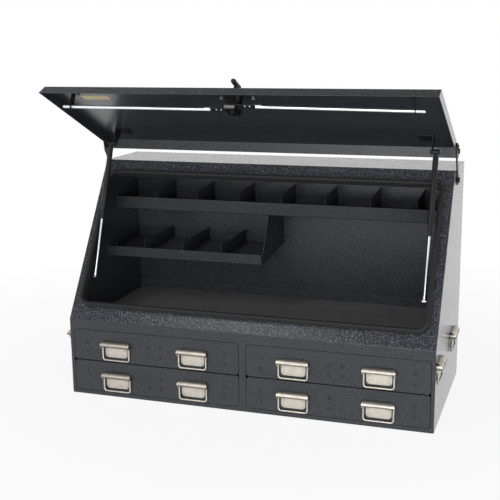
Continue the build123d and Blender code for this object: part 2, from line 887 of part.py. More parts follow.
def hinge_bolts():
    """Shoulder bolts that the lid turns on, with a washer against the side panel."""
    face = lid_half + arm_sheet + hinge_play
    bolt = stepped_bar(upright, hinge_y, hinge_z, [
        (inner_x - hinge_nut, inner_x, hinge_head_radius),
        (inner_x, face, hinge_bolt_radius),
        (half_width, lid_half - hinge_play, hinge_washer_radius),
        (face, face + hinge_head, hinge_head_radius),
    ])
    return pair(bolt)


def hinge_arm_bolts():
    """Bolts through each arm and side flange, with their nuts inside the lid."""
    seat = lid_half - sheet
    face = lid_half + arm_sheet
    bolts = []
    for u, depth in arm_bolt_places():
        bolt = stepped_bar(lid, u, depth, [
            (seat - arm_nut, seat, arm_bolt_head_radius),
            (seat, face, hinge_bolt_radius),
            (face, face + arm_bolt_head, arm_bolt_head_radius),
        ])
        bolts += [bolt, mirrored(bolt)]
    return group(bolts)


# ---------------------------------------------------------------- gas struts
def strut_frame():
    """Frame of the right-hand strut: z runs from the foot pivot to the head pivot."""
    return Plane(origin=strut_foot, x_dir=(1, 0, 0), z_dir=(strut_head - strut_foot))


def strut_rod():
    """Polished rod with the eye that faces the foot stud."""
    frame = strut_frame()
    half = strut_eye_width / 2
    eye = rod_x(frame, strut_eye_radius, -half, half, 0, 0)
    collar = extrude(
        frame.offset(strut_eye_radius / 2) * Circle(strut_collar_radius),
        amount=strut_eye_radius / 2 + strut_collar_length,
    )
    rod = extrude(
        frame.offset(strut_eye_radius) * Circle(strut_rod_radius), amount=strut_rod_length
    )
    blind_hole = rod_x(frame, stud_radius, half - strut_eye_hole, half + 1, 0, 0)
    return eye + collar + rod - blind_hole


def strut_cylinder():
    """Pressure tube with its gland and the socket that turns on the head stud."""
    frame = strut_frame()
    top = strut_length - strut_head_offset
    bottom = top - strut_tube_length
    mouth = bottom - strut_gland_length
    tube = extrude(frame.offset(bottom) * Circle(strut_tube_radius), amount=strut_tube_length)
    gland = extrude(
        frame.offset(mouth) * Circle(strut_gland_radius), amount=strut_gland_length
    )
    bore = extrude(
        frame.offset(mouth - 1) * Circle(strut_rod_radius + strut_play),
        amount=strut_gland_length + strut_seal_pack + 2,
    )
    chamber = extrude(
        frame.offset(bottom + strut_seal_pack) * Circle(strut_tube_radius - strut_tube_wall),
        amount=strut_tube_length - strut_seal_pack - strut_cap,
    )
    neck = extrude(frame.offset(top - 1) * Circle(strut_neck_radius), amount=strut_head_offset)
    socket = rod_x(
        frame, strut_socket_radius, -strut_tube_radius, strut_tube_radius, 0, strut_length
    )
    eye = rod_x(
        frame, stud_radius + stud_play, -strut_tube_radius - 1, strut_tube_radius + 1,
        0, strut_length,
    )
    return tube + gland + neck + socket - eye - chamber - bore


def strut_foot_mounts():
    """Brackets under the slope beside the opening, each with its stud."""
    plate_low = opening_half + 2 * sheet
    plate_high = plate_low + bracket_sheet
    tip = strut_x + strut_eye_width / 2 + strut_play
    low = strut_foot_s - foot_bracket_reach
    high = strut_foot_s + foot_bracket_reach
    plate = block(slope, plate_low, plate_high, low, high, -foot_bracket_drop, -sheet)
    foot = block(
        slope, plate_high, plate_high + foot_bracket_reach, low, high,
        -sheet - bracket_sheet, -sheet,
    )
    bracket = plate + foot - rod_x(
        slope, stud_radius + stud_play, plate_low - 1, plate_high + 1,
        strut_foot_s, -strut_foot_depth,
    )
    stud = stepped_bar(slope, strut_foot_s, -strut_foot_depth, [
        (tip, plate_high, stud_radius),
        (tip + stud_head, plate_low, stud_head_radius),
        (plate_high, plate_high + stud_nut, stud_nut_radius),
    ])
    return group([bracket, mirrored(bracket), stud, mirrored(stud)])


def strut_head_mounts():
    """Angle brackets on the lid's inside, each with its stud."""
    plate_high = strut_x - strut_tube_radius - strut_play - stud_boss
    plate_low = plate_high - bracket_sheet
    end = strut_x + strut_tube_radius + strut_play
    lead = strut_head_u + head_bracket_lead
    seat = sheet + bracket_sheet
    shape = joined_circles([
        (strut_head_u, strut_head_depth, stud_nut_radius + bracket_sheet),
        (lead - bracket_sheet, seat, bracket_sheet),
        (lead - head_bracket_length + bracket_sheet, seat, bracket_sheet),
    ])
    plate = across(lid, shape, plate_low, plate_high)
    base = block(
        lid, plate_high - head_bracket_reach, plate_high,
        lead - head_bracket_length, lead, sheet, seat,
    )
    bracket = plate + base - rod_x(
        lid, stud_radius + stud_play, plate_low - 1, plate_high + 1,
        strut_head_u, strut_head_depth,
    )
    bracket &= block(lid, 0, half_width, 0, lid_panel_length, sheet, 2 * strut_head_depth)
    stud = stepped_bar(lid, strut_head_u, strut_head_depth, [
        (plate_low - stud_nut, plate_low, stud_nut_radius),
        (plate_low, end, stud_radius),
        (plate_high, plate_high + stud_boss, stud_head_radius),
        (end, end + stud_head, stud_head_radius),
    ])
    return group([bracket, mirrored(bracket), stud, mirrored(stud)])


# ---------------------------------------------------------------- lid lock
def lock_frame():
    """Frame on the spindle's axis at the outside of the lid: z points into the chest."""
    return Plane(
        origin=lid.from_local_coords((0, lock_u, 0)), x_dir=lid.x_dir, z_dir=lid.z_dir
    )


def lock_housing():
    """Base plate and bridge that carry the inner end of the spindle."""
    frame = lock_frame()
    seat = sheet + lock_gauge
    top = lock_rod_depth + lock_bridge_depth + lock_gauge
    half = lock_base_half_height
    base = block(
        frame, -lock_base_half_length, lock_base_half_length, -half, half, sheet, seat
    )
    path = [(half, seat), (half, top), (-half, top), (-half, seat)]
    strap = across(
        frame, folded(path, lock_gauge, bend), -lock_bridge_half_width, lock_bridge_half_width
    )
    bore = extrude(frame * Circle(spindle_radius + pivot_play), amount=top + 1)
    return base + strap - bore


def handle_rose():
    """Round plate between the handle and the lid."""
    frame = lock_frame()
    rose = extrude(frame * Circle(rose_radius), amount=-rose_thickness)
    bore = extrude(frame * Circle(stem_radius + pivot_play), amount=-rose_thickness - 1)
    return rose - bore


def t_handle():
    """T-shaped handle on its spindle, bar across the chest's depth."""
    frame = lock_frame()
    bridge_top = lock_rod_depth + lock_bridge_depth + lock_gauge
    bar = extrude(
        frame.offset(-handle_stand) * (
            Rot(0, 0, 90) * SlotOverall(handle_bar_length, handle_bar_width)
        ),
        amount=-handle_bar_thickness,
    )
    bar = fillet(bar.edges(), handle_bar_round)
    stem = extrude(
        frame.offset(-handle_stand - 1) * Circle(stem_radius), amount=handle_stand + 1
    )
    spindle = extrude(frame * Circle(spindle_radius), amount=bridge_top + spindle_end)
    nut = extrude(
        frame.offset(bridge_top + pivot_play) * RegularPolygon(spindle_nut_radius, 6),
        amount=spindle_nut,
    )
    return bar + stem + spindle + nut


def lock_cam():
    """Two-armed cam on the spindle, with a pin for each rod."""
    frame = lock_frame()
    top = lock_rod_depth + lock_strap_rise - lock_strap_sheet - lock_cam_play
    low = top - lock_cam_sheet
    arm = Rot(0, 0, 135) * SlotCenterToCenter(2 * lock_pin_circle, lock_cam_width)
    cam = extrude(frame.offset(low) * arm, amount=lock_cam_sheet)
    cam += extrude(frame.offset(top) * Circle(lock_cam_hub_radius), amount=-lock_cam_hub)
    for side in (-1, 1):
        pin = Pos(-side * pin_offset, side * pin_offset) * Circle(lock_pin_radius)
        cam += extrude(frame.offset(low) * pin, amount=lock_cam_sheet + lock_pin_length)
    return cam - extrude(
        frame * Circle(spindle_radius + stud_play), amount=2 * lock_rod_depth
    )


def lock_rod_ends(side):
    """Centre of a lock rod beside the spindle and at its tip."""
    start = lid.from_local_coords((0, lock_u + side * strap_offset, lock_rod_depth))
    tip = lid.from_local_coords((side * lock_rod_tip, lock_rod_tip_u, lock_rod_depth))
    return Vector(*start), Vector(*tip)


def lock_rod_frame(side):
    """Frame of a lock rod: x runs from the cam to the rod's tip."""
    start, tip = lock_rod_ends(side)
    return Plane(origin=start, x_dir=(tip - start), z_dir=lid.z_dir)


def lock_rod(side):
    """Lock rod with its flat, slotted end over the cam pin, drawn back."""
    frame = lock_rod_frame(side)
    start, tip = lock_rod_ends(side)
    length = (tip - start).length
    half = lock_strap_width / 2
    strap_low = lock_strap_rise - lock_strap_sheet
    strap = block(
        frame, -pin_offset - half, lock_strap_end, -half, half, strap_low, lock_strap_rise
    )
    travel = lock_pin_circle - pin_offset
    slot = SlotCenterToCenter(travel + 2 * lock_pin_play, 2 * (lock_pin_radius + lock_pin_play))
    strap -= extrude(
        frame.offset(strap_low - 1) * (Pos(-pin_offset, 0) * (Rot(0, 0, 90) * slot)),
        amount=lock_strap_sheet + 2,
    )
    bar = rod_x(frame, lock_rod_radius, lock_rod_start, length, 0, 0)
    point = bar.edges().filter_by(GeomType.CIRCLE).sort_by_distance(tip)[0]
    return strap + fillet(point, lock_rod_radius / 2)


def rod_guides():
    """Upright plates near the lid's sides that the lock rods slide through."""
    share = guide_x / lock_rod_tip
    seat = sheet + guide_sheet
    guides = []
    for side in (-1, 1):
        start_u = lock_u + side * strap_offset
        u = start_u + (lock_rod_tip_u - start_u) * share
        low, high = sorted((side * guide_x, side * (guide_x - guide_sheet)))
        inner, outer = sorted((side * guide_x, side * (guide_x - guide_foot_length)))
        shape = joined_circles([
            (u, lock_rod_depth, 2 * lock_rod_radius),
            (u - guide_half_width + guide_sheet, seat, guide_sheet),
            (u + guide_half_width - guide_sheet, seat, guide_sheet),
        ])
        plate = across(lid, shape, low, high)
        foot = block(
            lid, inner, outer, u - guide_half_width, u + guide_half_width, sheet, seat
        )
        hole = rod_x(
            lid, lock_rod_radius + guide_play, low - 1, high + 1, u, lock_rod_depth
        )
        guides.append(plate + foot - hole)
    return group(guides)


# ---------------------------------------------------------------- the nodes
def carcass_nodes():
    """Pieces that stand still."""
    right = side_panel()
    nodes = {
        "side_panel_right": right,
        "side_panel_left": mirrored(right),
        "front_frame": front_frame(),
        "top_panel": carcass_strip(("slope_top", "back_top")),
        "back_panel": carcass_strip(("back_top", "back_foot")),
        "bottom_panel": carcass_strip(("back_foot", "front_foot")),
        "compartment_floor": compartment_floor(),
        "centre_partition": centre_partition(),
        "outer_slides": outer_slides(),
        "lid_seal": lid_seal(),
        "upper_shelf": shelf(upper_shelf_y, upper_shelf_z, upper_lip, -inner_x, inner_x),
        "upper_dividers": upper_dividers(),
        "lower_shelf": shelf(
            lower_shelf_y, lower_shelf_z, lower_lip, -inner_x, lower_shelf_end
        ),
        "lower_dividers": group([lower_dividers(), shelf_end_panel()]),
        "shelf_screws": shelf_screws(),
        "hinge_bolts": hinge_bolts(),
        "strut_foot_mounts": strut_foot_mounts(),
    }
    return nodes


def handle_nodes():
    """Side handles: one node for the mounts, one for each bail."""
    mount = handle_mount()
    grip = bail()
    nodes = {}
    mounts = []
    for side, side_name in ((-1, "left"), (1, "right")):
        for y, place in zip(side_handle_y, ("front", "rear")):
            frame = side_handle_frame(side, y)
            mounts.append(frame * mount)
            nodes[f"side_bail_{side_name}_{place}"] = frame * grip
    nodes["side_handle_mounts"] = group(mounts)
    return nodes


def drawer_nodes():
    """Four drawers, each a box, a front, two slides, two handle mounts and two bails."""
    mount = handle_mount()
    grip = bail()
    nodes = {}
    for level, level_name in ((0, "lower"), (1, "upper")):
        pieces = {
            "drawer_box": drawer_box(level),
            "drawer_front": drawer_front(level),
            "drawer_slides": inner_slides(level),
        }
        for column, column_name in ((-1, "left"), (1, "right")):
            name = f"{level_name}_{column_name}"
            for piece_name, piece in pieces.items():
                placed = piece if column > 0 else mirrored(piece)
                nodes[f"{piece_name}_{name}"] = placed
            frames = [drawer_handle_frame(column, level, place) for place in (-1, 1)]
            nodes[f"drawer_handle_mounts_{name}"] = group(frame * mount for frame in frames)
            nodes[f"drawer_bail_{name}_a"] = frames[0] * grip
            nodes[f"drawer_bail_{name}_b"] = frames[1] * grip
    return nodes


def lid_nodes():
    """Lid, its hinge arms, its lock and the gas struts."""
    arm = hinge_arm()
    rod = strut_rod()
    cylinder = strut_cylinder()
    return {
        "lid_panel": lid_panel(),
        "hinge_arms": pair(arm),
        "hinge_arm_bolts": hinge_arm_bolts(),
        "strut_head_mounts": strut_head_mounts(),
        "rod_guides": rod_guides(),
        "lock_housing": group([lock_housing(), handle_rose()]),
        "t_handle": t_handle(),
        "lock_cam": lock_cam(),
        "lock_rod_right": lock_rod(1),
        "lock_rod_left": lock_rod(-1),
        "strut_rod_right": rod,
        "strut_rod_left": mirrored(rod),
        "strut_cylinder_right": cylinder,
        "strut_cylinder_left": mirrored(cylinder),
    }


def main():
    """Write every node to its own file."""
    os.makedirs("parts", exist_ok=True)
    for nodes in (carcass_nodes(), handle_nodes(), drawer_nodes(), lid_nodes()):
        for name, shape in nodes.items():
            export_step(shape, f"parts/{name}.step")
            print(name)


if __name__ == "__main__":
    main()
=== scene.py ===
import json
import math

import bmesh
import bpy
from bpy.props import FloatProperty, FloatVectorProperty, IntProperty, PointerProperty
from bpy.types import Operator, Panel, PropertyGroup
from mathutils import Matrix, Vector


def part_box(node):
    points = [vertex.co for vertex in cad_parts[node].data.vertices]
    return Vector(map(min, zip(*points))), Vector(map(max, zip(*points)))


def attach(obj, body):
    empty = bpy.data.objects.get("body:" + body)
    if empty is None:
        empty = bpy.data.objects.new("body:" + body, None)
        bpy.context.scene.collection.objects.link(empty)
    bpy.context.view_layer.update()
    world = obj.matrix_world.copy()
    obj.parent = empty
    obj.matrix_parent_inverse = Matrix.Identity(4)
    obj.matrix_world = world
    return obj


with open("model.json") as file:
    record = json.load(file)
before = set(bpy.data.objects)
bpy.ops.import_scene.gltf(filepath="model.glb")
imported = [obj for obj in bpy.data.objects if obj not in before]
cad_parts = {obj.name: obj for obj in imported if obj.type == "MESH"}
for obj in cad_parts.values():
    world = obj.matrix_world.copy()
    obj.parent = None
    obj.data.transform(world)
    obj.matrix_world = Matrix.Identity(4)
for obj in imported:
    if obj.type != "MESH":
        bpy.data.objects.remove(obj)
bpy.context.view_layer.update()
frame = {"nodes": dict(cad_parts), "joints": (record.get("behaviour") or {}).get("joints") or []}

bl_info = {
    "name": "Tool Chest Finish",
    "version": (1, 0, 0),
    "blender": (4, 5, 0),
    "location": "3D View > Sidebar > Tool Chest",
    "description": "Finishes, fasteners and a plain stage for an upright steel tool chest",
    "category": "Object",
}

COLUMNS = ("left", "right")
LEVELS = ("lower", "upper")
PLACES = ("front", "rear")
DRAWERS = [f"{level}_{column}" for level in LEVELS for column in COLUMNS]
JOINTS = {joint["name"]: joint for joint in frame["joints"]}


# ---------------------------------------------------------------- settings
class CoatSettings(PropertyGroup):
    """Powder coat of the chest."""

    outside: FloatVectorProperty(
        name="Outside", description="Colour of the coat outside", subtype="COLOR",
        size=3, min=0.0, max=1.0, default=(0.021, 0.023, 0.029),
    )
    inside: FloatVectorProperty(
        name="Inside", description="Colour of the coat on the floor and shelves", subtype="COLOR",
        size=3, min=0.0, max=1.0, default=(0.022, 0.023, 0.028),
    )
    grain: FloatProperty(
        name="Grain", description="Width of one grain of the textured coat",
        default=0.0036, min=0.0005, max=0.01, unit="LENGTH",
    )
    relief: FloatProperty(
        name="Relief", description="Height of the grain",
        default=0.0030, min=0.0, max=0.01, precision=4, unit="LENGTH",
    )
    roughness: FloatProperty(
        name="Roughness", description="Roughness of the coat", subtype="FACTOR",
        default=0.34, min=0.1, max=0.9,
    )
    edge: FloatProperty(
        name="Edge", description="Width of the rubbed edges",
        default=0.0022, min=0.0, max=0.005, precision=4, unit="LENGTH",
    )


class MetalSettings(PropertyGroup):
    """Plated and painted fittings."""

    nickel: FloatVectorProperty(
        name="Nickel", description="Colour of the plated handles", subtype="COLOR",
        size=3, min=0.0, max=1.0, default=(0.58, 0.54, 0.48),
    )
    zinc: FloatVectorProperty(
        name="Zinc", description="Colour of the plated slides, rods and fasteners",
        subtype="COLOR", size=3, min=0.0, max=1.0, default=(0.68, 0.69, 0.70),
    )
    black: FloatVectorProperty(
        name="Black", description="Colour of the painted hinges and struts", subtype="COLOR",
        size=3, min=0.0, max=1.0, default=(0.008, 0.008, 0.009),
    )


class SealSettings(PropertyGroup):
    """Rubber edge seal."""

    rubber: FloatVectorProperty(
        name="Rubber", description="Colour of the seal", subtype="COLOR",
        size=3, min=0.0, max=1.0, default=(0.009, 0.009, 0.010),
    )


class FastenerSettings(PropertyGroup):
    """Rivets, nuts and screws."""

    dimple_radius: FloatProperty(
        name="Front Rivet", description="Radius of the painted rivets in the drawer fronts",
        default=0.0050, min=0.001, max=0.01, precision=4, unit="LENGTH",
    )
    plate_radius: FloatProperty(
        name="Plate Rivet", description="Radius of the rivets in the handle plates",
        default=0.0021, min=0.001, max=0.01, precision=4, unit="LENGTH",
    )
    wall_radius: FloatProperty(
        name="Wall Rivet", description="Radius of the rivets along the back of the floor",
        default=0.0042, min=0.001, max=0.01, precision=4, unit="LENGTH",
    )
    nut_radius: FloatProperty(
        name="Nut", description="Corner radius of the small nuts",
        default=0.0058, min=0.002, max=0.015, precision=4, unit="LENGTH",
    )
    sides: IntProperty(
        name="Sides", description="Segments round a rivet", default=20, min=8, max=64,
    )


class LabelSettings(PropertyGroup):
    """Blank label inside the lid."""

    width: FloatProperty(
        name="Width", description="Width of the label",
        default=0.093, min=0.02, max=0.4, unit="LENGTH",
    )
    height: FloatProperty(
        name="Height", description="Height of the label",
        default=0.031, min=0.02, max=0.3, unit="LENGTH",
    )
    across: FloatProperty(
        name="Across", description="Middle of the label from the middle of the lid",
        default=-0.4765, min=-1.0, max=1.0, unit="LENGTH",
    )
    colour: FloatVectorProperty(
        name="Colour", description="Colour of the label", subtype="COLOR",
        size=3, min=0.0, max=1.0, default=(0.62, 0.50, 0.20),
    )


class StageSettings(PropertyGroup):
    """Floor, light and camera."""

    backdrop: FloatVectorProperty(
        name="Backdrop", description="Colour of the floor and the background", subtype="COLOR",
        size=3, min=0.0, max=1.0, default=(1.0, 1.0, 1.0),
    )
    fill: FloatProperty(
        name="Fill", description="Strength of the light from all round",
        default=0.26, min=0.0, max=2.0,
    )
    ceiling: FloatProperty(
        name="Ceiling", description="Brightness overhead, against the background's",
        subtype="FACTOR", default=0.12, min=0.0, max=1.0,
    )
    key_power: FloatProperty(
        name="Key", description="Power of the large lamp in front of the chest",
        default=124.0, min=0.0, max=2000.0, unit="POWER",
    )
    high_power: FloatProperty(
        name="High", description="Power of the lamp above the front of the chest",
        default=10.0, min=0.0, max=2000.0, unit="POWER",
    )
    low_power: FloatProperty(
        name="Low", description="Power of the low lamp to the right of the front",
        default=19.0, min=0.0, max=2000.0, unit="POWER",
    )
    lens: FloatProperty(
        name="Lens", description="Focal length on a 36 mm sensor, in millimetres",
        default=69.836, min=10.0, max=300.0,
    )


# ---------------------------------------------------------------- places on the chest
def lid_frame():
    """Directions of the lid: across, along to its front edge, and into the chest."""
    across = Vector((1, 0, 0))
    outward = Vector(JOINTS["t_handle_turn"]["axis"]).normalized()
    along = outward.cross(across).normalized()
    if along.y > 0:
        along.negate()
    return across, along, -outward


def lid_place(x, y, depth):
    """Point on the lid from its spindle: y runs to its front edge, depth into the chest."""
    across, along, inward = lid_frame()
    spindle = Vector(JOINTS["t_handle_turn"]["pos_m"])
    return spindle + across * x + along * y + inward * depth


# ---------------------------------------------------------------- mesh helpers
def turned_solid(mesh, profile, sides, place, axis):
    """Adds a turned solid: profile is (radius, height) from the foot to the crown."""
    turn = Vector((0, 0, 1)).rotation_difference(axis).to_matrix().to_4x4()
    to_place = Matrix.Translation(place) @ turn
    rings = []
    for radius, height in profile:
        ring = []
        for step in range(sides):
            angle = 2 * math.pi * step / sides
            point = Vector((radius * math.cos(angle), radius * math.sin(angle), height))
            ring.append(mesh.verts.new(to_place @ point))
        rings.append(ring)
    for lower, upper in zip(rings, rings[1:]):
        for step in range(sides):
            after = (step + 1) % sides
            mesh.faces.new((lower[step], lower[after], upper[after], upper[step]))
    mesh.faces.new(list(reversed(rings[0])))
    mesh.faces.new(rings[-1])


def domed_profile(radius, height, rings=5, sink=0.0003, rim=0.12):
    """Section of a domed head that starts a little below its seat: rim is its straight share."""
    profile = [(radius, -sink), (radius, height * rim)]
    for step in range(1, rings):
        angle = math.pi / 2 * step / rings
        share = rim + (1 - rim) * math.sin(angle)
        profile.append((radius * math.cos(angle), height * share))
    return profile


def nut_profile(radius, height, sink=0.0003, flats=0.82, face=0.86):
    """Section of a nut: its chamfer starts at flats of the height and leaves face of the radius."""
    return [(radius, -sink), (radius, height * flats), (radius * face, height)]


def add_piece(name, mesh, material, body, smooth_angle=35.0):
    """Turns a bmesh into a piece that rides on a body."""
    bmesh.ops.recalc_face_normals(mesh, faces=mesh.faces)
    data = bpy.data.meshes.new(name)
    mesh.to_mesh(data)
    mesh.free()
    data.materials.append(material)
    data.shade_smooth()
    data.set_sharp_from_angle(angle=math.radians(smooth_angle))
    piece = bpy.data.objects.new(name, data)
    bpy.context.scene.collection.objects.link(piece)
    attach(piece, body)


def add_heads(name, places, profile, sides, material, body):
    """Like fasteners of one body as one piece: places are (point, outward direction)."""
    mesh = bmesh.new()
    for point, outward in places:
        turned_solid(mesh, profile, sides, point, outward)
    add_piece(name, mesh, material, body)


# ---------------------------------------------------------------- material helpers
def add_node(tree, kind, values=None, **attributes):
    """Adds a shader node with its settings and input values."""
    node = tree.nodes.new(kind)
    for key, value in attributes.items():
        setattr(node, key, value)
    for key, value in (values or {}).items():
        node.inputs[key].default_value = value
    return node


def new_material(name):
    """Empty principled material: its tree and shader."""
    material = bpy.data.materials.new(name)
    material.use_nodes = True
    tree = material.node_tree
    return material, tree, tree.nodes["Principled BSDF"]


def object_noise(tree, size, detail=2.0, roughness=0.5, stretch=(1, 1, 1)):
    """Noise in the chest's own metres, with features about size wide."""
    place = add_node(tree, "ShaderNodeTexCoord")
    mapping = add_node(tree, "ShaderNodeMapping", {"Scale": stretch})
    noise = add_node(
        tree, "ShaderNodeTexNoise",
        {"Scale": 1 / size, "Detail": detail, "Roughness": roughness},
    )
    tree.links.new(place.outputs["Object"], mapping.inputs["Vector"])
    tree.links.new(mapping.outputs["Vector"], noise.inputs["Vector"])
    return noise.outputs["Fac"]


def ranged(tree, value, low, high, to_low, to_high):
    """Value mapped from one range to another and clamped."""
    node = add_node(
        tree, "ShaderNodeMapRange",
        {"From Min": low, "From Max": high, "To Min": to_low, "To Max": to_high},
    )
    tree.links.new(value, node.inputs["Value"])
    return node.outputs["Result"]


MIX_FIRST, MIX_SECOND, MIX_RESULT = 6, 7, 2  # the colour sockets of a Mix node


def mixed(tree, factor, first, second):
    """Colour between two colours, each a colour or a socket."""
    node = add_node(tree, "ShaderNodeMix", data_type="RGBA")
    tree.links.new(factor, node.inputs["Factor"])
    for index, colour in ((MIX_FIRST, first), (MIX_SECOND, second)):
        if hasattr(colour, "is_output"):
            tree.links.new(colour, node.inputs[index])
        else:
            node.inputs[index].default_value = (*colour, 1.0)
    return node.outputs[MIX_RESULT]


def combined(tree, operation, first, second=None):
    """Math on one socket, on two, or on a socket and a number."""
    node = add_node(tree, "ShaderNodeMath", operation=operation)
    tree.links.new(first, node.inputs[0])
    if hasattr(second, "is_output"):
        tree.links.new(second, node.inputs[1])
    elif second is not None:
        node.inputs[1].default_value = second
    return node.outputs[0]


def separated(tree, vector):
    """The X, Y and Z of a vector socket."""
    node = add_node(tree, "ShaderNodeSeparateXYZ")
    tree.links.new(vector, node.inputs["Vector"])
    return node.outputs


def object_axes(tree):
    """X, Y and Z in the chest's own metres."""
    place = add_node(tree, "ShaderNodeTexCoord")
    return separated(tree, place.outputs["Object"])


def background_rays(tree):
    """One where the eye, a reflection or clear glass looks at a surface, and nought elsewhere."""
    path = add_node(tree, "ShaderNodeLightPath")
    seen = combined(tree, "MAXIMUM", path.outputs["Is Camera Ray"], path.outputs["Is Glossy Ray"])
    return combined(tree, "MAXIMUM", seen, path.outputs["Is Transmission Ray"])


def bumped(tree, height, distance, strength, normal=None):
    """Normal from a height socket."""
    node = add_node(tree, "ShaderNodeBump", {"Strength": strength, "Distance": distance})
    tree.links.new(height, node.inputs["Height"])
    if normal is not None:
        tree.links.new(normal, node.inputs["Normal"])
    return node.outputs["Normal"]


EDGE_STARTS, EDGE_FULL = 0.99, 0.93  # cosine from the rounded normal to the flat one


def rubbed_edges(tree, width):
    """Rounded normal at sharp edges, and how far a point lies on such an edge."""
    bevel = add_node(tree, "ShaderNodeBevel", {"Radius": width}, samples=4)
    geometry = add_node(tree, "ShaderNodeNewGeometry")
    dot = add_node(tree, "ShaderNodeVectorMath", operation="DOT_PRODUCT")
    tree.links.new(bevel.outputs["Normal"], dot.inputs[0])
    tree.links.new(geometry.outputs["Normal"], dot.inputs[1])
    edge = ranged(tree, dot.outputs["Value"], EDGE_STARTS, EDGE_FULL, 0.0, 1.0)
    return bevel.outputs["Normal"], edge


def shade(colour, factor):
    """Colour made lighter or darker."""
    return tuple(min(1.0, channel * factor) for channel in colour)


# ---------------------------------------------------------------- materials
# Pits and flecks of the grain: painted shade and painted glints, strong where the coat faces up.
PIT_SHADE, GLINT_SHADE = 0.15, 7.0  # of the coat's own colour
# Colour of settled dust; on the floor its large share stands in for painted light.
SETTLED_DUST_AND_LIGHT = (0.19, 0.19, 0.195)
WORN_COAT = (0.16, 0.16, 0.165)


def coat_colour(tree, colour, dust_and_light, grain, scuffs, edge):
    """Colour of the coat, and the share of dust and painted light on its level faces.

    Pits and flecks of the grain are deepened into painted shade and painted glints where the coat
    faces up, and are faint where it is upright. Rubbed edges also show most where it faces up.
    """
    mottle = object_noise(tree, 0.09, detail=4.0, roughness=0.6)
    geometry = add_node(tree, "ShaderNodeNewGeometry")
    facing_up = separated(tree, geometry.outputs["Normal"])["Z"]
    # Weight of the painted glints and shade, and of the edge wear: full where the coat faces up.
    glint_and_wear_weight = ranged(tree, facing_up, 0.1, 0.5, 0.25, 1.0)

    uneven = ranged(tree, mottle, 0.3, 0.7, 0.0, 1.0)
    body = mixed(tree, uneven, shade(colour, 0.90), shade(colour, 1.12))
    # Dark pits of the grain, deepened by painted shade where the coat faces up.
    pits_and_glint_shade = combined(tree, "MULTIPLY", ranged(tree, grain, 0.40, 0.52, 0.85, 0.0), glint_and_wear_weight)
    body = mixed(tree, pits_and_glint_shade, body, shade(colour, PIT_SHADE))
    # Bright flecks: painted glints on the grain where the coat faces up.
    painted_glints = combined(tree, "MULTIPLY", ranged(tree, grain, 0.55, 0.60, 0.0, 1.0), glint_and_wear_weight)
    body = mixed(tree, painted_glints, body, shade(colour, GLINT_SHADE))

    # Dust on level faces; on the floor the large share is mostly painted light.
    lying = ranged(tree, facing_up, 0.6, 1.0, 0.0, dust_and_light)
    dust_and_light_share = combined(tree, "MULTIPLY", lying, ranged(tree, mottle, 0.2, 0.8, 0.35, 0.65))
    body = mixed(tree, dust_and_light_share, body, SETTLED_DUST_AND_LIGHT)
    worn = combined(tree, "MULTIPLY", edge, ranged(tree, scuffs, 0.36, 0.60, 0.15, 0.75))
    worn = combined(tree, "MULTIPLY", worn, glint_and_wear_weight)
    return mixed(tree, worn, body, WORN_COAT), dust_and_light_share


def powder_coat(name, colour, settings, roughness=None, dust_and_light=0.25, glaze=1.0):
    """Textured powder coat: grain with painted glints, rubbed edges, dust and painted light on top
    faces.
    """
    material, tree, shader = new_material(name)
    roughness = settings.roughness if roughness is None else roughness
    edge_normal, edge = rubbed_edges(tree, settings.edge)
    grain = object_noise(tree, settings.grain, detail=2.0, roughness=0.7)
    orange_peel = object_noise(tree, settings.grain * 4, detail=1.0)
    scuffs = object_noise(tree, 0.03, detail=6.0, roughness=0.75, stretch=(0.35, 1, 1))
    body, dust_and_light_share = coat_colour(tree, colour, dust_and_light, grain, scuffs, edge)
    tree.links.new(body, shader.inputs["Base Color"])

    rough = ranged(tree, scuffs, 0.3, 0.7, roughness - 0.05, roughness + 0.07)
    tree.links.new(combined(tree, "ADD", rough, dust_and_light_share), shader.inputs["Roughness"])
    shader.inputs["IOR"].default_value = 1.33
    depth = settings.relief
    relief = bumped(tree, grain, depth, strength=0.9, normal=edge_normal)
    relief = bumped(tree, orange_peel, depth * 0.4, strength=0.35, normal=relief)
    tree.links.new(relief, shader.inputs["Normal"])
    shader.inputs["Coat Weight"].default_value = glaze
    shader.inputs["Coat Roughness"].default_value = 0.14
    shader.inputs["Coat IOR"].default_value = 1.3
    glazed = bumped(tree, grain, depth, strength=0.16, normal=edge_normal)
    tree.links.new(glazed, shader.inputs["Coat Normal"])
    return material


# Reach of the painted shade in hollows, and half the width of the painted shadow line at each lip.
PAINTED_SHADE_REACH = 0.024
SHADOW_LINE_CORE, SHADOW_LINE_FADE = 0.0018, 0.0050  # half the width of a lip's line, in full and faded out


